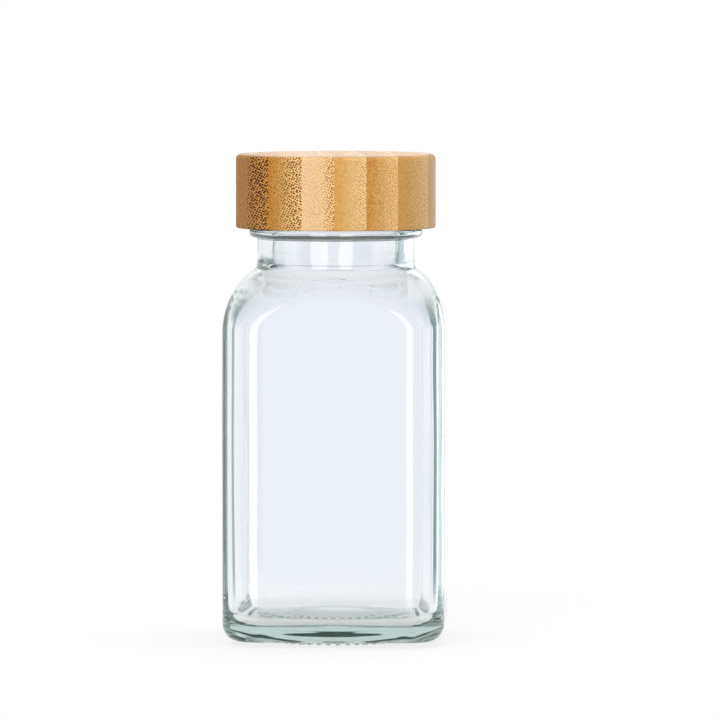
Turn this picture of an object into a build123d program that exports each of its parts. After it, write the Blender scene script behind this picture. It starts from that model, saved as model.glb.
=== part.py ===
from build123d import *
import math
import os

# Spice jar of clear moulded glass, with a screw lid turned from glued bamboo strips.
# Millimetres, +Z up. The origin is on the lid's axis, in the plane that the jar stands on.
# The front of the jar faces -Y, and the bamboo strips run from front to back.

# Body of the jar: a square with rounded corners and upright walls
body_width = 50.0  # across the flats at the shoulder
body_corner_radius = 9.0
body_wall = 2.8
heel_radius = 4.0  # rounding between the walls and the underside
shoulder_start = 70.5  # height where the walls begin to curve in

# Shoulder: a quarter ellipse that turns the square into the round neck
shoulder_height = 13.7
shoulder_wall = 3.0
shoulder_tuck = 2.85  # the ellipse's centre lies this far inside the neck's surface
neck_root_radius = 1.5  # rounding where the neck rises from the shoulder
throat_radius = 8.0  # rounding inside, where the bore opens into the body

# Underside: a bearing ring, a slope up to the heel and a push-up in the middle
ring_outer_radius = 17.0
ring_width = 4.0
heel_rise = 1.0  # height of the underside at the heel
slope_width = 4.5
slope_middle_share = 0.4  # how far out the slope has risen half way
push_up_height = 2.8
floor_edge_height = 4.6  # height of the inner floor at the walls
floor_dome_height = 2.8  # how far the floor rises above that in the middle
inner_heel_share = 0.75  # of the cavity's corner radius

# Neck, transfer bead and finish that carries the thread
finish_radius = 17.5  # the wall between the thread's turns
finish_height = 10.3  # from the bead's top to the rim
finish_wall = 3.6
rim_radius = 1.0
thread_depth = 1.25
neck_step = 0.35  # the neck below the bead is this much larger than the finish
neck_height = 6.9
bead_height = 1.9
bead_proud = 0.8  # beyond the thread
bead_lower_radius = 1.2
bead_edge = 0.4  # chamfer round its top

# Threaded insert and sealing disc inside the lid
thread_clearance = 0.35
insert_wall = 1.2
insert_top = 1.0
insert_lead_in = 0.5  # chamfer at the mouth
seal_thickness = 1.0
seal_side_gap = 0.2
seal_gap = 0.1  # between the rim and the sealing disc

# Bamboo lid
lid_wall = 2.2
lid_top = 4.6
lid_top_radius = 1.2
lid_edge = 0.35  # chamfer round the lower edge
lid_gap = 0.3  # between the bead and the lid
glue_gap = 0.05  # round the insert
strip_width_share = 0.321  # of the lid's radius
strip_offset_share = 0.0665  # of it too: one glue line lies this far left of the axis
lid_rest_angle = 5.0  # degrees that the tightened lid's strips are turned from front to back

# Cuts run this far past the faces that they go through
overrun = 2.0
# The least flat left in a nearly round cross section
round_flat = 0.3
# Straight facets in each rounding, which keep the solids light
heel_steps = 3
shoulder_steps = 7
rounding_steps = 2
dome_steps = 3
# How often a rounding's meeting point is narrowed down
meeting_halvings = 40

# Radii, worked out from the thread outwards
body_half = body_width / 2
neck_radius = finish_radius + neck_step
bore_radius = finish_radius - finish_wall
thread_radius = finish_radius + thread_depth
bead_radius = thread_radius + bead_proud
insert_bore_radius = thread_radius + thread_clearance
insert_radius = insert_bore_radius + insert_wall
recess_radius = insert_radius + glue_gap
lid_radius = recess_radius + lid_wall
strip_width = lid_radius * strip_width_share
strip_offset = -lid_radius * strip_offset_share

# Heights, worked out from the foot upwards
neck_bottom = shoulder_start + shoulder_height
bead_bottom = neck_bottom + neck_height
bead_top = bead_bottom + bead_height
rim_height = bead_top + finish_height
seal_bottom = rim_height + seal_gap
seal_top = seal_bottom + seal_thickness
recess_top = seal_top + insert_top
lid_bottom = bead_top + lid_gap
lid_height = recess_top + lid_top - lid_bottom

# The shoulder's ellipse, outside and inside
shoulder_centre = neck_radius - shoulder_tuck
shoulder_reach = body_half - shoulder_centre
shoulder_rise = shoulder_height / math.sqrt(1 - (shoulder_tuck / shoulder_reach) ** 2)
cavity_reach = shoulder_reach - body_wall
cavity_rise = shoulder_rise - shoulder_wall


def square_section(half_width, corner_radius, height):
    """A square with rounded corners, lying level."""
    largest_radius = half_width - round_flat
    size = 2 * half_width
    outline = RectangleRounded(size, size, min(corner_radius, largest_radius))
    return Pos(0, 0, height) * outline


def heel_sections(half_width, corner_radius, bottom, radius):
    """Cross sections round the edge between the underside and the walls."""
    sections = []
    for step in range(heel_steps + 1):
        angle = math.pi / 2 * step / heel_steps
        inset = radius * (1 - math.sin(angle))
        height = bottom + radius * (1 - math.cos(angle))
        sections.append(square_section(half_width - inset, corner_radius - inset, height))
    return sections


def shoulder_sections(corner_radius, reach, rise, top_angle):
    """Cross sections up a quarter ellipse, from the square to the round neck."""
    sections = []
    for step in range(shoulder_steps + 1):
        climbed_share = step / shoulder_steps
        angle = top_angle * climbed_share
        half_width = shoulder_centre + reach * math.cos(angle)
        height = shoulder_start + rise * math.sin(angle)
        round_share = (1 - math.cos(math.pi * climbed_share)) / 2
        radius = corner_radius + (half_width - corner_radius) * round_share
        sections.append(square_section(half_width, radius, height))
    return sections


def arc_points(centre_radius, centre_height, radius, start, end, steps=rounding_steps):
    """Points along an arc of an outline, from one angle to another in degrees."""
    points = []
    for step in range(steps + 1):
        angle = math.radians(start + (end - start) * step / steps)
        points.append(
            (centre_radius + radius * math.cos(angle), centre_height + radius * math.sin(angle))
        )
    return points


def shoulder_edge(reach, rise, upright_radius, rounding):
    """The angle on the shoulder's ellipse where a rounding leaves it for an upright wall."""
    low = 0
    high = math.pi / 2
    for halving in range(meeting_halvings):
        angle = (low + high) / 2
        lean = math.atan2(reach * math.sin(angle), rise * math.cos(angle))
        centre = shoulder_centre + reach * math.cos(angle) + rounding * math.cos(lean)
        if centre > upright_radius + rounding:
            low = angle
        else:
            high = angle
    return low


def rounding_points(reach, rise, upright_radius, rounding):
    """The outline of that rounding, from the shoulder up to the wall."""
    angle = shoulder_edge(reach, rise, upright_radius, rounding)
    lean = math.atan2(reach * math.sin(angle), rise * math.cos(angle))
    centre_height = shoulder_start + rise * math.sin(angle) + rounding * math.sin(lean)
    start = 180 + math.degrees(lean)
    return arc_points(upright_radius + rounding, centre_height, rounding, start, 180)


def turned(points):
    """A solid turned about the lid's axis, from the corners of its outline."""
    return revolve(make_face(Plane.XZ * Polyline(*points, close=True)), Axis.Z)


def cylinder_between(radius, bottom, top):
    """An upright cylinder on the axis, from one height to another."""
    standing = Cylinder(radius, top - bottom, align=(Align.CENTER, Align.CENTER, Align.MIN))
    return Pos(0, 0, bottom) * standing


def dome(radius, height, base):
    """A shallow dome whose rim lies at the base height, closed flat below."""
    half_angle = 2 * math.atan2(height, radius)
    sphere_radius = radius / math.sin(half_angle)
    centre = base + height - sphere_radius
    edge = 90 - math.degrees(half_angle)
    curve = arc_points(0, centre, sphere_radius, edge, 90, dome_steps)
    return turned([*curve, (0, base - overrun), (radius, base - overrun)])


def foot():
    """The bearing ring's disc, with a hollow slope that runs out at the heel."""
    slope_end = ring_outer_radius + slope_width
    half_way = (ring_outer_radius + slope_width * slope_middle_share, heel_rise / 2)
    top = heel_rise + overrun
    slope = [(ring_outer_radius, 0), half_way, (slope_end, heel_rise)]
    return turned([(0, 0), *slope, (slope_end, top), (0, top)])


def neck_and_finish():
    """Neck, transfer bead and finish, from the shoulder's rounding up to the rim."""
    root = rounding_points(shoulder_reach, shoulder_rise, neck_radius, neck_root_radius)
    lower_bead = arc_points(
        bead_radius - bead_lower_radius, bead_bottom + bead_lower_radius, bead_lower_radius, -90, 0
    )
    upper_bead = [(bead_radius, bead_top - bead_edge), (bead_radius - bead_edge, bead_top)]
    rim = arc_points(finish_radius - rim_radius, rim_height - rim_radius, rim_radius, 0, 90)
    neck = [(0, shoulder_start), (neck_radius, shoulder_start), *root, (neck_radius, bead_bottom)]
    finish = [(finish_radius, bead_top), *rim, (0, rim_height)]
    return turned([*neck, *lower_bead, *upper_bead, *finish])


def throat_and_bore():
    """The bore from the shoulder to the rim, with its mouth into the body rounded."""
    mouth = rounding_points(cavity_reach, cavity_rise, bore_radius, throat_radius)
    rim = rim_height + overrun
    low = [(0, shoulder_start), (bore_radius, shoulder_start)]
    return turned([*low, *mouth, (bore_radius, rim), (0, rim)])


def cavity():
    """The space inside the jar: body, shoulder, throat and bore."""
    corner_radius = body_corner_radius - body_wall
    floor_radius = corner_radius * inner_heel_share
    half_width = body_half - body_wall
    heel = heel_sections(half_width, corner_radius, floor_edge_height, floor_radius)
    shoulder = shoulder_sections(corner_radius, cavity_reach, cavity_rise, math.pi / 2)
    floor = dome(half_width - floor_radius, floor_dome_height, floor_edge_height)
    return loft([*heel, *shoulder], ruled=True) + throat_and_bore() - floor


def glass_jar():
    """The moulded glass jar, in one piece."""
    top_angle = shoulder_edge(shoulder_reach, shoulder_rise, neck_radius, 0)
    heel = heel_sections(body_half, body_corner_radius, heel_rise, heel_radius)
    shoulder = shoulder_sections(body_corner_radius, shoulder_reach, shoulder_rise, top_angle)
    outside = loft([*heel, *shoulder], ruled=True) + neck_and_finish() + foot()
    push_up = dome(ring_outer_radius - ring_width, push_up_height, 0)
    return outside - cavity() - push_up


def lid_blank():
    """The turned bamboo lid before it is parted into strips, with the recess for the insert."""
    top = lid_bottom + lid_height
    upper = arc_points(lid_radius - lid_top_radius, top - lid_top_radius, lid_top_radius, 90, 0)
    lower = [(lid_radius, lid_bottom + lid_edge), (lid_radius - lid_edge, lid_bottom)]
    recess = [(recess_radius, lid_bottom), (recess_radius, recess_top), (0, recess_top)]
    return turned([(0, top), *upper, *lower, *recess])


def glue_lines():
    """Where the strips meet, from left to right, with the lid's two edges at the ends."""
    first = math.ceil((-lid_radius + lid_wall / 2 - strip_offset) / strip_width)
    last = math.floor((lid_radius - lid_wall / 2 - strip_offset) / strip_width)
    lines = [strip_offset + strip_width * count for count in range(first, last + 1)]
    return [-lid_radius, *lines, lid_radius]


def lid_strips():
    """The bamboo strips, each as wide as the stretch between its two glue lines."""
    blank = lid_blank()
    lines = glue_lines()
    depth = 2 * (lid_radius + overrun)
    strips = []
    for left, right in zip(lines[:-1], lines[1:]):
        slab = Box(right - left, depth, lid_height + overrun)
        strip = blank & Pos((left + right) / 2, 0, lid_bottom + lid_height / 2) * slab
        strips.append(Rot(0, 0, lid_rest_angle) * strip)
    return strips


def thread_insert():
    """The plastic cup that is glued into the lid and carries its thread."""
    bore = [(insert_bore_radius, seal_top), (insert_bore_radius, lid_bottom + insert_lead_in)]
    mouth = [(insert_bore_radius + insert_lead_in, lid_bottom), (insert_radius, lid_bottom)]
    return turned([(0, seal_top), *bore, *mouth, (insert_radius, recess_top), (0, recess_top)])


def seal_liner():
    """The soft sealing disc between the rim and the insert."""
    return cylinder_between(insert_bore_radius - seal_side_gap, seal_bottom, seal_top)


def save(name, shape):
    """Write one piece of the assembly."""
    export_step(shape, f"parts/{name}.step")


os.makedirs("parts", exist_ok=True)
save("glass_jar", glass_jar())
save("seal_liner", seal_liner())
save("thread_insert", thread_insert())
for number, strip in enumerate(lid_strips(), start=1):
    save(f"lid_strip_{number}", strip)
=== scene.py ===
import bpy
import bmesh
import math
from mathutils import Matrix, Vector, noise


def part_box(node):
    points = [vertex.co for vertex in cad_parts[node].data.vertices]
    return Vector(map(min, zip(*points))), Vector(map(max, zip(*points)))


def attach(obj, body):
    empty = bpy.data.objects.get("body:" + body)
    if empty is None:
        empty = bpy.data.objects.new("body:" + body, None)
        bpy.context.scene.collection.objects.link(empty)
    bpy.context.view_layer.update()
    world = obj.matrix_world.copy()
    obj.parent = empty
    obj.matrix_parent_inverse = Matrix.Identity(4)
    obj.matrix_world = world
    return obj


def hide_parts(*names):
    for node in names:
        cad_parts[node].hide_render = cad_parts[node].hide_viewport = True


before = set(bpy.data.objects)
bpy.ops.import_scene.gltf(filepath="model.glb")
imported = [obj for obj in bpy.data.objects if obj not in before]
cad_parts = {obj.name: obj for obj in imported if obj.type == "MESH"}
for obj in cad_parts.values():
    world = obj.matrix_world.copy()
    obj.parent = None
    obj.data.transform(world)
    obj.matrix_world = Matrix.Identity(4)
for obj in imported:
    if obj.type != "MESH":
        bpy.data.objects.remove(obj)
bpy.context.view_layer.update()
print("frame loaded")

mm = 0.001
fullTurn = 2 * math.pi
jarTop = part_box("glass_jar")[1]
sealLow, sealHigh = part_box("seal_liner")
bodyHalf = jarTop.x / mm
rimHeight = jarTop.z / mm
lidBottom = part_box("thread_insert")[0].z / mm
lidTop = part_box("lid_strip_4")[1].z / mm

# the screw: jar and insert share it, so one turns through the other
screw = {
    "pitch": 4.233,       # mm in one turn, right-hand
    "start": 96.4,        # height of the jar thread's lower end
    "turns": 1.25,
    "runOut": 25.0,       # degrees over which its ends fade
    "depth": 1.15,
    "halfHeight": 1.1,
    "crest": 0.35,        # share of the half height that stands up fully
}


def newObject(name, bm, materials, smoothAngle=35.0):
    mesh = bpy.data.meshes.new(name)
    bmesh.ops.recalc_face_normals(bm, faces=bm.faces)
    bm.to_mesh(mesh)
    bm.free()
    mesh.shade_smooth()
    mesh.set_sharp_from_angle(angle=math.radians(smoothAngle))
    for material in materials:
        mesh.materials.append(material)
    piece = bpy.data.objects.new(name, mesh)
    bpy.context.scene.collection.objects.link(piece)
    return piece


def smoothStep(low, high, value):
    share = min(max((value - low) / (high - low), 0.0), 1.0)
    return share * share * (3 - 2 * share)


def squareReach(angle, halfWidth, corner):
    # distance from the axis to a rounded square's outline
    along = max(abs(math.cos(angle)), abs(math.sin(angle)))
    aside = min(abs(math.cos(angle)), abs(math.sin(angle)))
    centre = halfWidth - corner
    if halfWidth * aside / along <= centre:
        return halfWidth / along
    lean = centre * (along + aside)
    return lean + math.sqrt(max(lean * lean - 2 * centre * centre + corner * corner, 0.0))


def threadHeight(angle, height, start, turns, halfHeight):
    # 0 to 1, how far the thread stands up at this place
    tallest = 0.0
    base = angle % fullTurn
    for turn in range(math.ceil(turns)):
        along = base + fullTurn * turn
        fromEnd = min(along, turns * fullTurn - along)
        if fromEnd <= 0:
            continue
        away = abs(height - start - screw["pitch"] * along / fullTurn) / halfHeight
        if away < 1:
            fade = smoothStep(0, math.radians(screw["runOut"]), fromEnd)
            tallest = max(tallest, fade * smoothStep(1.0, screw["crest"], away))
    return tallest


def roundStation(height, radius, **extra):
    return {"height": height, "halfWidth": radius, "corner": radius, **extra}


def arcStations(centreRadius, centreHeight, radius, start, end, steps, **extra):
    stations = []
    for step in range(steps + 1):
        angle = math.radians(start + (end - start) * step / steps)
        stations.append(roundStation(
            centreHeight + radius * math.sin(angle),
            centreRadius + radius * math.cos(angle), **extra))
    return stations


def between(low, high, steps):
    return [low + (high - low) * step / steps for step in range(steps + 1)]


def ringShell(stations, columns, cornerCrowding):
    # one ring after another is extruded and put in place, so the shell is closed
    bm = bmesh.new()
    first = stations[0]
    bmesh.ops.create_circle(bm, cap_ends=True, cap_tris=True, segments=columns,
                            radius=first["halfWidth"] * mm)
    for vert in bm.verts:
        angle = math.atan2(vert.co.y, vert.co.x)
        angle += cornerCrowding * math.sin(4 * angle)
        reach = math.hypot(vert.co.x, vert.co.y)
        vert.co = Vector((reach * math.cos(angle), reach * math.sin(angle), first["height"] * mm))
    edges = [edge for edge in bm.edges if edge.is_boundary]
    for station in stations[1:]:
        made = bmesh.ops.extrude_edge_only(bm, edges=edges)["geom"]
        verts = set(item for item in made if isinstance(item, bmesh.types.BMVert))
        edges = [item for item in made if isinstance(item, bmesh.types.BMEdge)
                 and item.verts[0] in verts and item.verts[1] in verts]
        for vert in verts:
            vert.co = stationPoint(station, math.atan2(vert.co.y, vert.co.x))
    cap = bmesh.ops.edgeloop_fill(bm, edges=edges)["faces"]
    bmesh.ops.poke(bm, faces=cap)
    return bm


def stationPoint(station, angle):
    reach = squareReach(angle, station["halfWidth"], station["corner"])
    height = station["height"]
    if "thread" in station:
        reach += station["thread"] * threadHeight(
            angle, height, station["threadStart"], station["threadTurns"], station["threadHalf"])
    if "stipple" in station:
        height += station["stipple"] * (1 - stippleHeight(angle, station["halfWidth"]))
    if "wave" in station:
        # swells only ever draw the surface inwards
        length = station.get("waveLength", glass["waveLength"])
        spot = Vector((reach * math.cos(angle), reach * math.sin(angle),
                       height * glass["waveStretch"]))
        reach += station["wave"] * (noise.noise(spot / length) - 1) / 2
    return Vector((reach * math.cos(angle), reach * math.sin(angle), height)) * mm


glass = {
    "columns": 368,          # verts round each ring
    "cornerCrowding": 0.06,  # draws them towards the rounded corners
    "smoothAngle": 60.0,
    "cornerRadius": 9.0,
    "wall": 2.65,            # before the swells thicken it
    "heelRadius": 4.0,
    "heelRise": 1.0,
    "slopePower": 1.5,       # how late the underside rises towards the heel
    "shoulderStart": 70.5,
    "shoulderHeight": 13.7,
    "shoulderWall": 3.0,
    "shoulderTuck": 2.85,    # its ellipse ends this far inside the neck
    "neckRoot": 1.5,
    "throatRadius": 8.0,     # rounding where the bore opens into the body
    "ringInner": 13.0,       # bearing ring
    "ringOuter": 17.0,
    "pushUp": 2.8,
    "pushUpShares": (0.04, 0.98),   # its first and last ring
    "floorEdge": 4.6,
    "floorDome": 2.8,
    "floorRadius": 4.65,     # rounding between inner walls and floor
    "floorShares": (0.96, 0.04),    # its outermost and innermost ring
    "floorRound": 0.7,       # share of the floor where its rings have become round
    "floorWave": 0.25,
    "finishRadius": 17.5,
    "finishWall": 3.6,
    "neckRadius": 17.85,
    "neckHeight": 6.9,
    "beadHeight": 1.9,
    "beadRadius": 19.55,
    "beadLower": 1.2,
    "beadUpper": 0.4,
    "beadLedge": 0.2,
    "rimRadius": 1.0,        # outside, and the lip's is inside
    "lipRadius": 0.6,
    "seamLift": 0.25,        # mould seam low on the neck
    "seamHalf": 0.12,
    "seamProud": 0.04,
    "neckEnds": (0.8, 0.3),      # mm left free at both ends of neck, thread and bore
    "threadEnds": (0.15, 0.05),
    "boreEnds": (1.5, 0.4),
    "stippleCount": 46,      # bumps on the bearing ring
    "stippleDepth": 0.9,
    "stippleFlat": 0.55,     # share of the ring's width at full height
    "stippleRound": (0.05, 0.7),    # foot and top of a bump along the ring
    "waveLength": 11.0,      # mm between swells in the moulded surface
    "waveStretch": 0.5,      # the swells are longer up the jar
    "waveFade": 0.85,        # they end in the top of the shoulder
    "outerWave": 0.12,
    "innerWave": 0.4,
    "neckWave": 0.16,        # the neck's swells are shorter
    "neckWaveLength": 4.5,
    "ior": 1.5,
    "depthColor": (0.26, 0.50, 0.44, 1.0),   # green of the thick edges
    "depthDensity": 17.0,
    # rings along each stretch of it
    "steps": {"pushUp": 9, "ring": 10, "slope": 5, "heel": 10, "wall": 22, "shoulder": 26,
              "root": 8, "neck": 7, "beadLower": 8, "beadUpper": 4, "thread": 34, "rim": 6,
              "lip": 4, "bore": 14, "throat": 12, "innerShoulder": 22, "innerHeel": 9, "floor": 11},
}


def stippleHeight(angle, radius):
    # bumps stand in a ring, rounded along and across it
    middle = (glass["ringInner"] + glass["ringOuter"]) / 2
    half = (glass["ringOuter"] - glass["ringInner"]) / 2
    across = smoothStep(1.0, glass["stippleFlat"], abs(radius - middle) / half)
    along = 0.5 + 0.5 * math.cos(glass["stippleCount"] * angle)
    return across * smoothStep(*glass["stippleRound"], along)


def undersideStations():
    # the push-up, the bearing ring, and the slope from it to the heel
    stations = []
    steps = glass["steps"]
    inner, outer = glass["ringInner"], glass["ringOuter"]
    for share in between(*glass["pushUpShares"], steps["pushUp"]):
        stations.append(roundStation(glass["pushUp"] * (1 - share ** 2), inner * share))
    for radius in between(inner, outer, steps["ring"]):
        stations.append(roundStation(0.0, radius, stipple=glass["stippleDepth"]))
    slopeEnd = bodyHalf - glass["heelRadius"]
    heelCorner = glass["cornerRadius"] - glass["heelRadius"]
    climb = glass["heelRise"] - glass["stippleDepth"]
    for share in between(0.0, 1.0, steps["slope"])[1:-1]:
        radius = outer + (slopeEnd - outer) * share
        corner = radius + (heelCorner - radius) * share ** 2
        height = glass["stippleDepth"] + climb * share ** glass["slopePower"]
        stations.append({"height": height, "halfWidth": radius, "corner": corner})
    return stations


def heelStations(halfWidth, corner, bottom, radius, steps, wave):
    stations = []
    for step in range(steps + 1):
        angle = math.pi / 2 * step / steps
        inset = radius * (1 - math.sin(angle))
        stations.append({
            "height": bottom + radius * (1 - math.cos(angle)),
            "halfWidth": halfWidth - inset,
            "corner": corner - inset,
            "wave": wave * step / steps})
    return stations


def shoulderStations(corner, reach, rise, topAngle, steps, wave):
    stations = []
    centre = glass["neckRadius"] - glass["shoulderTuck"]
    for step in range(steps + 1):
        climbed = step / steps
        angle = topAngle * climbed
        halfWidth = centre + reach * math.cos(angle)
        share = (1 - math.cos(math.pi * climbed)) / 2
        stations.append({
            "height": glass["shoulderStart"] + rise * math.sin(angle),
            "halfWidth": halfWidth,
            "corner": corner + (halfWidth - corner) * share,
            "wave": wave * smoothStep(1.0, glass["waveFade"], climbed)})
    return stations


def shoulderEdge(reach, rise, upright, rounding):
    # where on the shoulder's ellipse a rounding leaves it for an upright wall
    centre = glass["neckRadius"] - glass["shoulderTuck"]
    low, high = 0.0, math.pi / 2
    for halving in range(40):
        angle = (low + high) / 2
        lean = math.atan2(reach * math.sin(angle), rise * math.cos(angle))
        if centre + reach * math.cos(angle) + rounding * math.cos(lean) > upright + rounding:
            low = angle
        else:
            high = angle
    return low


def roundingStations(reach, rise, upright, rounding, steps):
    angle = shoulderEdge(reach, rise, upright, rounding)
    lean = math.atan2(reach * math.sin(angle), rise * math.cos(angle))
    height = glass["shoulderStart"] + rise * math.sin(angle) + rounding * math.sin(lean)
    start = 180 + math.degrees(lean)
    return arcStations(upright + rounding, height, rounding, start, 180, steps)[1:]


def wallStations(low, high, halfWidth, corner, steps, wave):
    return [{"height": height, "halfWidth": halfWidth, "corner": corner, "wave": wave}
            for height in between(low, high, steps)[1:-1]]


def outerStations(reach, rise, swell):
    # from the middle of the underside out, up the walls and over the rim
    corner, wave = glass["cornerRadius"], glass["outerWave"]
    neck, bead, finish = glass["neckRadius"], glass["beadRadius"], glass["finishRadius"]
    lower, upper, rim = glass["beadLower"], glass["beadUpper"], glass["rimRadius"]
    beadBottom = glass["shoulderStart"] + glass["shoulderHeight"] + glass["neckHeight"]
    beadTop = beadBottom + glass["beadHeight"]
    heelTop = glass["heelRise"] + glass["heelRadius"]
    topAngle = shoulderEdge(reach, rise, neck, glass["neckRoot"])
    steps = glass["steps"]
    stations = undersideStations()
    stations += heelStations(
        bodyHalf, corner, glass["heelRise"], glass["heelRadius"], steps["heel"], wave)
    stations += wallStations(heelTop, glass["shoulderStart"], bodyHalf, corner, steps["wall"], wave)
    stations += shoulderStations(corner, reach, rise, topAngle, steps["shoulder"], wave)
    rootArc = roundingStations(reach, rise, neck, glass["neckRoot"], steps["root"])
    stations += rootArc
    seam = rootArc[-1]["height"] + glass["seamLift"]
    stations += [roundStation(seam, neck),
                 roundStation(seam + glass["seamHalf"], neck + glass["seamProud"]),
                 roundStation(seam + 2 * glass["seamHalf"], neck)]
    low, high = seam + glass["neckEnds"][0], beadBottom - glass["neckEnds"][1]
    stations += [roundStation(height, neck, **swell)
                 for height in between(low, high, steps["neck"])]
    stations += arcStations(bead - lower, beadBottom + lower, lower, -90, 0, steps["beadLower"])
    stations += arcStations(bead - upper, beadTop - upper, upper, 0, 90, steps["beadUpper"])
    stations += [roundStation(beadTop, finish + glass["beadLedge"])]
    thread = {"thread": screw["depth"], "threadStart": screw["start"],
              "threadTurns": screw["turns"], "threadHalf": screw["halfHeight"]}
    low, high = beadTop + glass["threadEnds"][0], rimHeight - rim - glass["threadEnds"][1]
    stations += [roundStation(height, finish, **thread)
                 for height in between(low, high, steps["thread"])]
    stations += arcStations(finish - rim, rimHeight - rim, rim, 0, 90, steps["rim"])
    return stations


def innerStations(reach, rise, swell):
    # from the rim down the bore and the walls to the middle of the floor
    corner, wave = glass["cornerRadius"] - glass["wall"], glass["innerWave"]
    halfWidth = bodyHalf - glass["wall"]
    bore = glass["finishRadius"] - glass["finishWall"]
    lip, throat = glass["lipRadius"], glass["throatRadius"]
    edge, rounding = glass["floorEdge"], glass["floorRadius"]
    steps = glass["steps"]
    throatArc = roundingStations(reach, rise, bore, throat, steps["throat"])
    throatAngle = shoulderEdge(reach, rise, bore, throat)
    stations = arcStations(bore + lip, rimHeight - lip, lip, 90, 180, steps["lip"])
    high, low = rimHeight - glass["boreEnds"][0], throatArc[-1]["height"] + glass["boreEnds"][1]
    stations += [roundStation(height, bore, **swell)
                 for height in between(high, low, steps["bore"])]
    stations += reversed(throatArc)
    stations += reversed(shoulderStations(
        corner, reach, rise, throatAngle, steps["innerShoulder"], wave))
    stations += reversed(wallStations(
        edge + rounding, glass["shoulderStart"], halfWidth, corner, steps["wall"], wave))
    stations += reversed(heelStations(
        halfWidth, corner, edge, rounding, steps["innerHeel"], wave))
    for share in between(*glass["floorShares"], steps["floor"]):
        ring = (halfWidth - rounding) * share
        squareCorner = (corner - rounding) * share
        turned = smoothStep(1.0, glass["floorRound"], share)
        stations.append({
            "height": edge + glass["floorDome"] * (1 - share ** 2),
            "halfWidth": ring,
            "corner": squareCorner + (ring - squareCorner) * turned,
            "wave": glass["floorWave"] * 4 * share * (1 - share),
            "waveLength": glass["neckWaveLength"]})
    return stations


def glassStations():
    reach = bodyHalf - glass["neckRadius"] + glass["shoulderTuck"]
    rise = glass["shoulderHeight"] / math.sqrt(1 - (glass["shoulderTuck"] / reach) ** 2)
    swell = {"wave": glass["neckWave"], "waveLength": glass["neckWaveLength"]}
    return (outerStations(reach, rise, swell)
            + innerStations(reach - glass["wall"], rise - glass["shoulderWall"], swell))


def newMaterial(name):
    material = bpy.data.materials.new(name)
    material.use_nodes = True
    nodes = material.node_tree.nodes
    links = material.node_tree.links
    return material, nodes, links, nodes["Principled BSDF"], nodes["Material Output"]


def linear(red, green, blue):
    # from the 0 to 255 that a picture shows to the light that a shader takes
    def channel(value):
        share = value / 255
        return share / 12.92 if share <= 0.04045 else ((share + 0.055) / 1.055) ** 2.4
    return (channel(red), channel(green), channel(blue), 1.0)


def setOrLink(links, socket, item):
    # a number or a colour is set on the socket, and anything else is linked to it
    if isinstance(item, (int, float, tuple)):
        socket.default_value = item
    elif item is not None:
        links.new(item, socket)


def mathNode(nodes, links, operation, *values):
    node = nodes.new("ShaderNodeMath")
    node.operation = operation
    for place, value in enumerate(values):
        setOrLink(links, node.inputs[place], value)
    return node.outputs[0]


def rangeNode(nodes, links, value, low, high, toLow=0.0, toHigh=1.0):
    node = nodes.new("ShaderNodeMapRange")
    node.interpolation_type = "SMOOTHSTEP"
    for place, item in (("Value", value), ("From Min", low), ("From Max", high),
                        ("To Min", toLow), ("To Max", toHigh)):
        setOrLink(links, node.inputs[place], item)
    return node.outputs[0]


def mixNode(nodes, links, share, first, second):
    node = nodes.new("ShaderNodeMix")
    node.data_type = "RGBA"
    for place, item in ((0, share), (6, first), (7, second)):   # its sockets for colours
        setOrLink(links, node.inputs[place], item)
    return node.outputs[2]


def glassMaterial():
    material, nodes, links, shader, output = newMaterial("clearGlass")
    shader.inputs["Base Color"].default_value = (1.0, 1.0, 1.0, 1.0)
    shader.inputs["Roughness"].default_value = 0.0
    shader.inputs["IOR"].default_value = glass["ior"]
    shader.inputs["Transmission Weight"].default_value = 1.0
    depth = nodes.new("ShaderNodeVolumeAbsorption")
    depth.inputs["Color"].default_value = glass["depthColor"]
    depth.inputs["Density"].default_value = glass["depthDensity"]
    links.new(depth.outputs[0], output.inputs["Volume"])
    return material


glassShell = ringShell(glassStations(), glass["columns"], glass["cornerCrowding"])
glassJar = newObject("moulded_jar", glassShell, [glassMaterial()], glass["smoothAngle"])
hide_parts("glass_jar")
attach(glassJar, "jar")
print("glass jar made,", len(glassJar.data.polygons), "faces")


lid = {
    "radius": 22.55,
    "recessRadius": 20.35,
    "recessTop": 105.4,
    "topRounding": 1.2,
    "lowerRounding": 0.4,
    "roundingSteps": 6,
    "restAngle": 5.0,        # degrees that the strips are turned from front to back
    "stripWidth": 7.2386,
    "stripOffset": -1.4996,
    "firstGlueLine": -2,     # lines counted from the one just left of the axis
    "spinSteps": 288,
    "smoothAngle": 30.0,
    "mergeDistance": 0.000001,
    "cutTolerance": 0.0000001,
}

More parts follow.
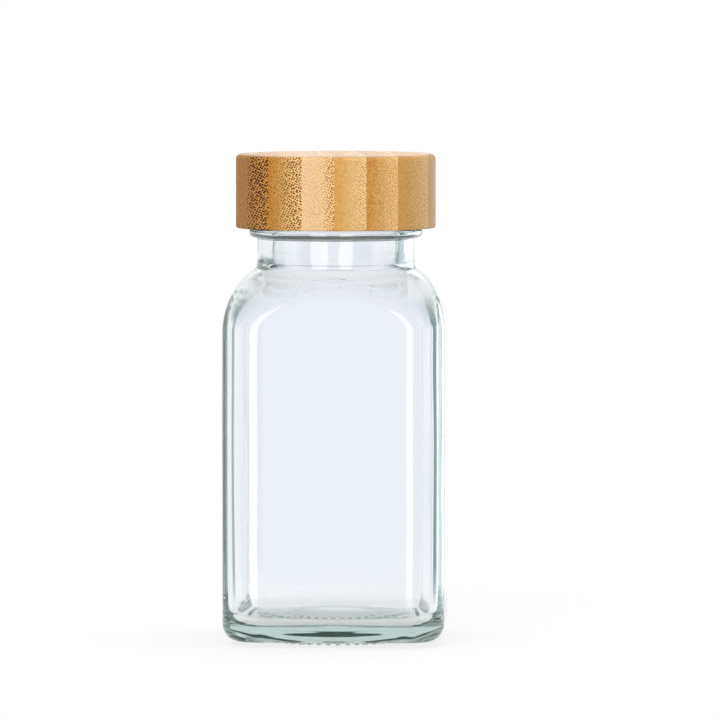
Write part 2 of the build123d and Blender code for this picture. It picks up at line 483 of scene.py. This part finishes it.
# each strip's flesh at its left and right, its fibre ends and how they gather to the right
bambooLooks = [
    {"left": (164, 116, 60), "right": (206, 150, 72), "dot": (70, 30, 6), "small": 0.05,
     "large": 0.38, "from": 0.05, "to": 0.60, "mottle": 0.28, "specks": 0.60},
    {"left": (196, 136, 58), "right": (244, 200, 132), "dot": (104, 50, 10), "small": 0.20,
     "large": 0.34, "from": 0.0, "to": 0.95, "mottle": 0.24, "specks": 0.75},
    {"left": (244, 206, 156), "right": (244, 202, 142), "dot": (142, 78, 32), "small": 0.15,
     "large": 0.31, "from": 0.45, "to": 1.0, "mottle": 0.12, "specks": 0.20},
    {"left": (222, 166, 88), "right": (244, 208, 146), "dot": (168, 112, 60), "small": 0.10,
     "large": 0.26, "from": 0.15, "to": 0.95, "mottle": 0.30, "specks": 0.20},
    {"left": (212, 150, 78), "right": (244, 202, 134), "dot": (178, 132, 76), "small": 0.08,
     "large": 0.25, "from": 0.05, "to": 0.75, "mottle": 0.70, "specks": 0.45},
    {"left": (212, 158, 84), "right": (226, 186, 126), "dot": (172, 132, 82), "small": 0.10,
     "large": 0.25, "from": 0.0, "to": 0.45, "mottle": 0.40, "specks": 0.35},
    {"left": (194, 156, 102), "right": (190, 158, 118), "dot": (158, 120, 84), "small": 0.02,
     "large": 0.12, "from": 0.5, "to": 1.0, "mottle": 0.20, "specks": 0.0},
]

bamboo = {
    "dotPitch": 0.53,        # mm between fibre ends
    "dotTurn": 0.45,         # radians that their rows are turned off the level
    "dotStray": 0.45,
    "dotUneven": 0.2,        # share by which they differ in size
    "dotSoftness": 0.055,
    "patchiness": 0.18,      # how far they stray from even rows of shade
    "patchNoise": (0.16, 2.0, 0.5),   # scale, detail and roughness
    "grainNoise": (0.9, 4.0, 0.6),
    "grainLength": 0.03,     # how little the mottle changes along a fibre
    "mottleRange": (0.42, 0.68),
    "skinSide": (0.25, 0.9, 1.0, 0.15),   # mottle and specks give way to fibre ends
    "speckSize": 0.17,
    "speckChance": (0.45, 0.6),
    "speckTone": (244, 208, 152),
    "deepTone": (172, 106, 46),
    # the top's long-grain tone with a painted sheen in it, used where the surface faces up
    "topToneAndSheen": (174, 150, 130),
    "topGrain": (0.3, 0.7, 0.1, 0.5),     # how much of the flesh shows on top
    "topFacing": (0.6, 0.98),
    "roughness": 0.62,
    "shine": 0.12,
    "dotDepth": 0.00005,
    "dotRelief": 0.35,
    "stripShift": (3.7, 1.3, 2.1),   # moves the pattern on from strip to strip
}


def bambooMaterial(name, look, left, right, number):
    material, nodes, links, shader, output = newMaterial(name)
    coordinates = nodes.new("ShaderNodeTexCoord")
    turned = nodes.new("ShaderNodeMapping")   # turned back, so that Y runs along the fibres
    turned.inputs["Rotation"].default_value = (0, 0, -math.radians(lid["restAngle"]))
    links.new(coordinates.outputs["Object"], turned.inputs["Vector"])
    axes = nodes.new("ShaderNodeSeparateXYZ")
    links.new(turned.outputs[0], axes.inputs[0])
    fromLeft = mathNode(nodes, links, "SUBTRACT", axes.outputs["X"], left * mm)
    across = mathNode(nodes, links, "DIVIDE", fromLeft, (right - left) * mm)
    squeezed = nodes.new("ShaderNodeMapping")
    squeezed.inputs["Location"].default_value = [shift * number for shift in bamboo["stripShift"]]
    perDot = 1 / (bamboo["dotPitch"] * mm)
    squeezed.inputs["Scale"].default_value = (perDot, perDot * bamboo["grainLength"], perDot)
    links.new(turned.outputs[0], squeezed.inputs["Vector"])
    endGrain = nodes.new("ShaderNodeMapping")   # fibres stand on this plane, so each end is whole
    endGrain.inputs["Rotation"].default_value = (-math.pi / 2, 0, bamboo["dotTurn"])
    links.new(squeezed.outputs[0], endGrain.inputs["Vector"])

    def noiseOf(scale, detail, roughness):
        node = nodes.new("ShaderNodeTexNoise")
        node.inputs["Scale"].default_value = scale
        node.inputs["Detail"].default_value = detail
        node.inputs["Roughness"].default_value = roughness
        links.new(squeezed.outputs[0], node.inputs["Vector"])
        return node.outputs["Fac"]

    def product(first, second):
        return mathNode(nodes, links, "MULTIPLY", first, second)

    def ranged(value, *limits):
        return rangeNode(nodes, links, value, *limits)

    dots = nodes.new("ShaderNodeTexVoronoi")
    dots.voronoi_dimensions = "2D"
    dots.inputs["Scale"].default_value = 1.0
    dots.inputs["Randomness"].default_value = bamboo["dotStray"]
    links.new(endGrain.outputs[0], dots.inputs["Vector"])
    chance = nodes.new("ShaderNodeSeparateColor")
    links.new(dots.outputs["Color"], chance.inputs[0])
    patches = noiseOf(*bamboo["patchNoise"])
    grain = noiseOf(*bamboo["grainNoise"])
    # the fibre ends grow and darken towards the skin side of the strip
    patches = product(mathNode(nodes, links, "SUBTRACT", patches, 0.5), bamboo["patchiness"])
    unevenAcross = mathNode(nodes, links, "ADD", across, patches)
    gather = ranged(unevenAcross, look["from"], look["to"])
    uneven, softness = bamboo["dotUneven"], bamboo["dotSoftness"]
    size = product(ranged(gather, 0.0, 1.0, look["small"], look["large"]),
                   ranged(chance.outputs[0], 0.0, 1.0, 1 - uneven, 1 + uneven))
    inside = mathNode(nodes, links, "SUBTRACT", size, dots.outputs["Distance"])
    dotMask = ranged(inside, -softness, softness)
    # mottled flesh between them, with pale specks where they are fewest
    flesh = mixNode(nodes, links, ranged(unevenAcross, 0.0, 1.0),
                    linear(*look["left"]), linear(*look["right"]))
    fewer = ranged(unevenAcross, *bamboo["skinSide"])
    mottle = product(ranged(grain, *bamboo["mottleRange"], 0.0, look["mottle"]), fewer)
    flesh = mixNode(nodes, links, mottle, flesh, linear(*bamboo["deepTone"]))
    speck = bamboo["speckSize"]
    pale = ranged(dots.outputs["Distance"], speck + softness, speck - softness, 0.0, look["specks"])
    pale = product(pale, ranged(chance.outputs[1], *bamboo["speckChance"]))
    flesh = mixNode(nodes, links, product(pale, fewer), flesh, linear(*bamboo["speckTone"]))
    side = mixNode(nodes, links, dotMask, flesh, linear(*look["dot"]))
    # the top shows long grain without fibre ends, in a paler tone that is partly its own and partly
    # a painted sheen
    facing = nodes.new("ShaderNodeSeparateXYZ")
    links.new(coordinates.outputs["Normal"], facing.inputs[0])
    topColorAndSheen = mixNode(nodes, links, ranged(grain, *bamboo["topGrain"]),
                       linear(*bamboo["topToneAndSheen"]), flesh)
    color = mixNode(nodes, links, ranged(facing.outputs["Z"], *bamboo["topFacing"]), side, topColorAndSheen)
    links.new(color, shader.inputs["Base Color"])
    shader.inputs["Roughness"].default_value = bamboo["roughness"]
    shader.inputs["Specular IOR Level"].default_value = bamboo["shine"]
    bump = nodes.new("ShaderNodeBump")
    bump.inputs["Strength"].default_value = bamboo["dotRelief"]
    bump.inputs["Distance"].default_value = bamboo["dotDepth"]
    links.new(mathNode(nodes, links, "SUBTRACT", grain, dotMask), bump.inputs["Height"])
    links.new(bump.outputs[0], shader.inputs["Normal"])
    return material


def lidBlank():
    # turned outline, from the middle of the top out and down, and back up the recess
    bm = bmesh.new()
    outline = [(0.0, lidTop)]
    radius, top, lower = lid["radius"], lid["topRounding"], lid["lowerRounding"]
    corners = arcStations(radius - top, lidTop - top, top, 90, 0, lid["roundingSteps"])
    corners += arcStations(radius - lower, lidBottom + lower, lower, 0, -90, lid["roundingSteps"])
    outline += [(station["halfWidth"], station["height"]) for station in corners]
    outline += [(lid["recessRadius"], lidBottom), (lid["recessRadius"], lid["recessTop"]),
                (0.0, lid["recessTop"])]
    verts = [bm.verts.new((radius * mm, 0, height * mm)) for radius, height in outline]
    edges = [bm.edges.new(pair) for pair in zip(verts[:-1], verts[1:])]
    bmesh.ops.spin(bm, geom=verts + edges, cent=(0, 0, 0), axis=(0, 0, 1), dvec=(0, 0, 0),
                   angle=fullTurn, steps=lid["spinSteps"], use_merge=True, use_duplicate=False)
    bmesh.ops.remove_doubles(bm, verts=bm.verts, dist=lid["mergeDistance"])
    return bm


def cutAt(bm, place, side):
    # keeps what lies inside the glue line and closes the cut
    cut = bmesh.ops.bisect_plane(
        bm, geom=bm.verts[:] + bm.edges[:] + bm.faces[:], dist=lid["cutTolerance"],
        plane_co=(place * mm, 0, 0), plane_no=(side, 0, 0), clear_outer=True)["geom_cut"]
    rim = [item for item in cut if isinstance(item, bmesh.types.BMEdge)]
    closed = bmesh.ops.edgeloop_fill(bm, edges=rim)["faces"]
    bmesh.ops.triangulate(bm, faces=closed)


lastGlueLine = lid["firstGlueLine"] + len(bambooLooks) - 2
glueLines = [lid["stripOffset"] + lid["stripWidth"] * count
             for count in range(lid["firstGlueLine"], lastGlueLine + 1)]
edgesAcross = [-lid["radius"]] + glueLines + [lid["radius"]]
restTurn = Matrix.Rotation(math.radians(lid["restAngle"]), 3, "Z")
for number, look in enumerate(bambooLooks, start=1):
    left, right = edgesAcross[number - 1], edgesAcross[number]
    strip = lidBlank()
    if number > 1:
        cutAt(strip, left, -1)
    if number < len(bambooLooks):
        cutAt(strip, right, 1)
    bmesh.ops.rotate(strip, verts=strip.verts, cent=(0, 0, 0), matrix=restTurn)
    material = bambooMaterial(f"bamboo{number}", look, left, right, number)
    piece = newObject(f"bamboo_strip_{number}", strip, [material], lid["smoothAngle"])
    node = f"lid_strip_{number}"
    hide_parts(node)
    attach(piece, "lid")
print("bamboo strips made")


insert = {
    "radius": 20.3,
    "bore": 19.1,
    "top": 105.4,
    "seat": 104.4,
    "leadIn": 0.5,
    "edge": 0.2,             # rounding of its upper edge
    "edgeSteps": 3,
    "edgeMargin": 0.3,       # flat rings and turns keep this clear of the edges
    "wallMargin": 0.5,
    "mouthEdge": 0.15,
    "seatMargin": 1.5,
    "poleRadius": 0.5,       # first ring round the axis
    "threadDepth": 1.0,
    "threadHalf": 0.85,
    "threadTurns": 1.0,
    "threadSteps": 44,
    "flatSteps": 6,
    "columns": 240,
    "smoothAngle": 40.0,
    "color": (236, 233, 224),
    "dull": (222, 218, 207),
    "cloudScale": 180.0,
    "cloudRange": (0.3, 0.7),
    "roughness": (0.32, 0.42),
}


def insertStations():
    top, seat, bottom = insert["top"], insert["seat"], lidBottom
    outer, bore, pole = insert["radius"], insert["bore"], insert["poleRadius"]
    edge, margin, flatSteps = insert["edge"], insert["edgeMargin"], insert["flatSteps"]
    stations = [roundStation(top, radius) for radius in between(pole, outer - margin, flatSteps)]
    stations += arcStations(outer - edge, top - edge, edge, 90, 0, insert["edgeSteps"])
    stations += [roundStation(height, outer)
                 for height in between(top - insert["wallMargin"], bottom + edge, flatSteps)]
    stations += [roundStation(bottom, outer - insert["mouthEdge"]),
                 roundStation(bottom, bore + insert["leadIn"])]
    thread = {"thread": -insert["threadDepth"], "threadStart": screw["start"] - screw["pitch"] / 2,
              "threadTurns": insert["threadTurns"], "threadHalf": insert["threadHalf"]}
    stations += [roundStation(height, bore, **thread) for height in between(
        bottom + insert["leadIn"], seat - margin, insert["threadSteps"])]
    stations += [roundStation(seat, bore - edge)]
    stations += [roundStation(seat, radius)
                 for radius in between(bore - insert["seatMargin"], pole, flatSteps)]
    return stations


def plasticMaterial():
    material, nodes, links, shader, output = newMaterial("insertPlastic")
    coordinates = nodes.new("ShaderNodeTexCoord")
    cloud = nodes.new("ShaderNodeTexNoise")
    cloud.inputs["Scale"].default_value = insert["cloudScale"]
    links.new(coordinates.outputs["Object"], cloud.inputs["Vector"])
    cloudy = cloud.outputs["Fac"]
    clouded = rangeNode(nodes, links, cloudy, *insert["cloudRange"])
    rough = rangeNode(nodes, links, cloudy, *insert["cloudRange"], *insert["roughness"])
    color = mixNode(nodes, links, clouded, linear(*insert["color"]), linear(*insert["dull"]))
    links.new(color, shader.inputs["Base Color"])
    links.new(rough, shader.inputs["Roughness"])
    return material


insertShell = ringShell(insertStations(), insert["columns"], 0.0)
threadCup = newObject("threaded_insert", insertShell, [plasticMaterial()], insert["smoothAngle"])
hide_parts("thread_insert")
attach(threadCup, "lid")

seal = {
    "rounding": 0.25,
    "faceMargin": 0.1,
    "poleRadius": 0.5,
    "faceSteps": 8,
    "edgeSteps": 4,
    "columns": 200,
    "smoothAngle": 40.0,
    "color": (238, 237, 232),
    "poreTone": (214, 212, 205),
    "cellSize": 0.25,        # mm, pores of the foam
    "cellEdge": (0.1, 0.7),
    "roughness": 0.85,
    "poreRelief": 0.4,
    "poreDepth": 0.00005,
}


def foamMaterial():
    material, nodes, links, shader, output = newMaterial("linerFoam")
    coordinates = nodes.new("ShaderNodeTexCoord")
    cells = nodes.new("ShaderNodeTexVoronoi")
    cells.inputs["Scale"].default_value = 1 / (seal["cellSize"] * mm)
    links.new(coordinates.outputs["Object"], cells.inputs["Vector"])
    poreEdge = rangeNode(nodes, links, cells.outputs["Distance"], *seal["cellEdge"])
    color = mixNode(nodes, links, poreEdge, linear(*seal["poreTone"]), linear(*seal["color"]))
    links.new(color, shader.inputs["Base Color"])
    shader.inputs["Roughness"].default_value = seal["roughness"]
    bump = nodes.new("ShaderNodeBump")
    bump.inputs["Strength"].default_value = seal["poreRelief"]
    bump.inputs["Distance"].default_value = seal["poreDepth"]
    links.new(cells.outputs["Distance"], bump.inputs["Height"])
    links.new(bump.outputs[0], shader.inputs["Normal"])
    return material


def sealStations():
    low, high, radius = sealLow.z / mm, sealHigh.z / mm, sealHigh.x / mm
    rounding, steps = seal["rounding"], seal["edgeSteps"]
    rings = between(seal["poleRadius"], radius - rounding - seal["faceMargin"], seal["faceSteps"])
    stations = [roundStation(low, reach) for reach in rings]
    stations += arcStations(radius - rounding, low + rounding, rounding, -90, 0, steps)
    stations += arcStations(radius - rounding, high - rounding, rounding, 0, 90, steps)
    stations += [roundStation(high, reach) for reach in reversed(rings)]
    return stations


sealShell = ringShell(sealStations(), seal["columns"], 0.0)
liner = newObject("sealing_disc", sealShell, [foamMaterial()], seal["smoothAngle"])
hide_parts("seal_liner")
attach(liner, "seal")
print("insert and seal made")


white = (1.0, 1.0, 1.0, 1.0)
studio = {
    "floorRadius": 0.24,
    "floorSegments": 96,
    "floorDrop": 0.00002,    # m, so that the floor doesn't lie in the jar's foot
    "floorColor": (0.97, 0.97, 0.97, 1.0),
    "floorRoughness": 0.9,
    "floorShine": 0.1,
    "whiteFrom": 0.05,       # m from the jar where the floor starts to run out into plain white
    "whiteAt": 0.2,
    "shadowFaded": 0.8,      # share of white over the floor's shadow
    "shadowFadedInGlass": 0.55,
    "footShade": (0.08, 0.26, 0.20, 1.0),   # the floor where the foot keeps the light off it
    "footRadius": 0.018,
    "footCore": 0.6,         # share of it that is fully shaded
    "roomLight": 0.72,       # even light on the object
    "behind": white,
    "before": (0.12, 0.38, 0.95, 1.0),   # bluish room that the front mirrors
    "roomTurns": (0.1, 0.7),
    # upright panels: middle and half width in degrees, and colour
    "softboxes": ((-112, 9, (4.2, 4.3, 4.4, 1.0)), (-73, 7, (4.2, 4.3, 4.4, 1.0)),
                  (-157, 9, (1.3, 1.4, 1.5, 1.0)), (-22, 9, (1.3, 1.4, 1.5, 1.0))),
    "softboxTop": (0.8, 0.6),
    "shades": ((92, 15, (0.93, 0.934, 0.99, 1.0)), (48, 11, (0.22, 0.30, 0.28, 1.0)),
               (152, 5, (0.40, 0.46, 0.45, 1.0)), (-40, 18, (0.22, 0.27, 0.25, 1.0))),
    "softEdge": 4.0,         # degrees over which boxes and shades fade
    # the rest by direction: from where to where each fades in, along one axis
    "rimLight": (4.4, 4.8, 5.2, 1.0),
    "rimAside": (0.3, 0.45),
    "rimBehind": (0.2, 0.35),
    "rimTop": (0.35, 0.15),
    "overhead": (9.0, 9.4, 9.8, 1.0),
    "overheadUp": (0.25, 0.45),
    "overheadAside": (0.3, 0.12),
    "overheadBehind": (0.0, 0.2),
    "ceilingShade": (0.30, 0.36, 0.34, 1.0),
    "ceilingUp": (0.12, 0.42),
    "ceilingAside": (0.12, 0.45),
    # name, place, size in m and power in W
    "lamps": (("frontLight", (-0.35, -1.4, 0.9), 0.9, 9.0),
              ("topLight", (0.2, 0.1, 1.4), 0.9, 5.0)),
    "lampAim": 0.06,
}


def floorMaterial():
    material, nodes, links, shader, output = newMaterial("paleFloor")
    shader.inputs["Roughness"].default_value = studio["floorRoughness"]
    shader.inputs["Specular IOR Level"].default_value = studio["floorShine"]
    coordinates = nodes.new("ShaderNodeTexCoord")
    length = nodes.new("ShaderNodeVectorMath")
    length.operation = "LENGTH"
    links.new(coordinates.outputs["Object"], length.inputs[0])
    fromAxis = length.outputs["Value"]
    away = rangeNode(nodes, links, fromAxis, studio["whiteFrom"], studio["whiteAt"])
    footRadius = studio["footRadius"]
    clearOfFoot = rangeNode(nodes, links, fromAxis, footRadius * studio["footCore"], footRadius)
    color = mixNode(nodes, links, clearOfFoot, studio["footShade"], studio["floorColor"])
    links.new(color, shader.inputs["Base Color"])
    path = nodes.new("ShaderNodeLightPath")
    glassSeen = mathNode(nodes, links, "MAXIMUM",
                         path.outputs["Is Glossy Ray"], path.outputs["Is Transmission Ray"])
    faded = mathNode(
        nodes, links, "MAXIMUM",
        mathNode(nodes, links, "MULTIPLY", path.outputs["Is Camera Ray"], studio["shadowFaded"]),
        mathNode(nodes, links, "MULTIPLY", glassSeen, studio["shadowFadedInGlass"]))
    plainWhite = nodes.new("ShaderNodeEmission")
    plainWhite.inputs["Color"].default_value = white
    plainWhite.inputs["Strength"].default_value = 1.0
    paler = nodes.new("ShaderNodeMixShader")   # near the jar the shadow stays, faintly
    links.new(faded, paler.inputs[0])
    links.new(shader.outputs[0], paler.inputs[1])
    links.new(plainWhite.outputs[0], paler.inputs[2])
    clear = nodes.new("ShaderNodeBsdfTransparent")
    mixed = nodes.new("ShaderNodeMixShader")   # further out it gives way to the white room
    links.new(away, mixed.inputs[0])
    links.new(paler.outputs[0], mixed.inputs[1])
    links.new(clear.outputs[0], mixed.inputs[2])
    links.new(mixed.outputs[0], output.inputs["Surface"])
    return material


floorMesh = bmesh.new()
bmesh.ops.create_circle(floorMesh, cap_ends=True, segments=studio["floorSegments"],
                        radius=studio["floorRadius"])
floor = newObject("floor", floorMesh, [floorMaterial()])
floor.data.transform(Matrix.Translation((0, 0, -studio["floorDrop"])))


def buildWorld():
    world = bpy.data.worlds.new("softStudio")
    bpy.context.scene.world = world
    world.use_nodes = True
    nodes, links = world.node_tree.nodes, world.node_tree.links
    background = nodes["Background"]
    coordinates = nodes.new("ShaderNodeTexCoord")
    axes = nodes.new("ShaderNodeSeparateXYZ")
    links.new(coordinates.outputs["Generated"], axes.inputs[0])
    sideways, backward, up = axes.outputs["X"], axes.outputs["Y"], axes.outputs["Z"]
    turn = mathNode(nodes, links, "ARCTAN2", backward, sideways)
    level = mathNode(nodes, links, "ABSOLUTE", up)
    aside = mathNode(nodes, links, "ABSOLUTE", sideways)

    def panel(middle, half):
        # an upright panel of the room, by its direction in degrees
        off = mathNode(nodes, links, "SUBTRACT", turn, math.radians(middle))
        away = mathNode(nodes, links, "ABSOLUTE", off)
        return rangeNode(nodes, links, away, math.radians(half),
                         math.radians(half + studio["softEdge"]), 1.0, 0.0)

    def ranged(value, limits):
        return rangeNode(nodes, links, value, *studio[limits])

    def product(first, second):
        return mathNode(nodes, links, "MULTIPLY", first, second)

    # upright shades and a ceiling darker to the sides, seen through the glass
    through = white
    for middle, half, color in studio["shades"]:
        through = mixNode(nodes, links, panel(middle, half), through, color)
    ceiling = product(ranged(up, "ceilingUp"), ranged(aside, "ceilingAside"))
    through = mixNode(nodes, links, ceiling, through, studio["ceilingShade"])
    # mirrored in the glass: tall softboxes, a light overhead and one behind on the right
    mirrored = mixNode(nodes, links, ranged(backward, "roomTurns"),
                       studio["before"], studio["behind"])
    upright = ranged(level, "softboxTop")
    for middle, half, color in studio["softboxes"]:
        mirrored = mixNode(nodes, links, product(panel(middle, half), upright), mirrored, color)
    overhead = product(ranged(up, "overheadUp"), ranged(aside, "overheadAside"))
    overhead = product(overhead, ranged(backward, "overheadBehind"))
    mirrored = mixNode(nodes, links, overhead, mirrored, studio["overhead"])
    rim = product(ranged(sideways, "rimAside"), ranged(backward, "rimBehind"))
    rim = product(rim, ranged(level, "rimTop"))
    mirrored = mixNode(nodes, links, rim, mirrored, studio["rimLight"])
    path = nodes.new("ShaderNodeLightPath")
    room = (studio["roomLight"],) * 3 + (1.0,)
    light = mixNode(nodes, links, path.outputs["Is Glossy Ray"], room, mirrored)
    light = mixNode(nodes, links, path.outputs["Is Transmission Ray"], light, through)
    light = mixNode(nodes, links, path.outputs["Is Camera Ray"], light, white)
    links.new(light, background.inputs["Color"])
    background.inputs["Strength"].default_value = 1.0


def softLight(name, place, size, power):
    lamp = bpy.data.lights.new(name, "AREA")
    lamp.shape = "SQUARE"
    lamp.size = size
    lamp.energy = power
    lampObject = bpy.data.objects.new(name, lamp)
    bpy.context.scene.collection.objects.link(lampObject)
    lampObject.location = place
    toJar = Vector((0, 0, studio["lampAim"])) - Vector(place)
    lampObject.rotation_euler = toJar.to_track_quat("-Z", "Y").to_euler()
    lampObject.visible_camera = False
    lampObject.visible_glossy = False
    lampObject.visible_transmission = False


buildWorld()
for lamp in studio["lamps"]:
    softLight(*lamp)

view = {
    "azimuth": 2.07,         # degrees to the right of the jar's front
    "elevation": 3.5,
    "distance": 1.75,
    "lens": 386.75,
    "sensor": 36.0,
    "aim": 0.055,
    "leftOfMiddle": 24.2,    # pixels of the 720 frame
    "belowMiddle": 36.7,
    "frameWidth": 720.0,
    "lightBounces": 32,      # light turns back many times inside the thick glass
}

cameraData = bpy.data.cameras.new("camera")
camera = bpy.data.objects.new("camera", cameraData)
bpy.context.scene.collection.objects.link(camera)
turn, tilt = math.radians(view["azimuth"]), math.radians(view["elevation"])
aim = Vector((0, 0, view["aim"]))
offset = Vector((math.sin(turn) * math.cos(tilt), -math.cos(turn) * math.cos(tilt), math.sin(tilt)))
camera.location = aim + offset * view["distance"]
camera.rotation_euler = (-offset).to_track_quat("-Z", "Y").to_euler()
cameraData.lens = view["lens"]
cameraData.sensor_width = view["sensor"]
cameraData.shift_x = view["leftOfMiddle"] / view["frameWidth"]
cameraData.shift_y = view["belowMiddle"] / view["frameWidth"]
bpy.context.scene.camera = camera
bpy.context.scene.view_settings.view_transform = "Standard"
bpy.context.scene.cycles.max_bounces = view["lightBounces"]
bpy.context.scene.cycles.glossy_bounces = view["lightBounces"]
bpy.context.scene.cycles.transmission_bounces = view["lightBounces"]
print("stage, lights and camera made")
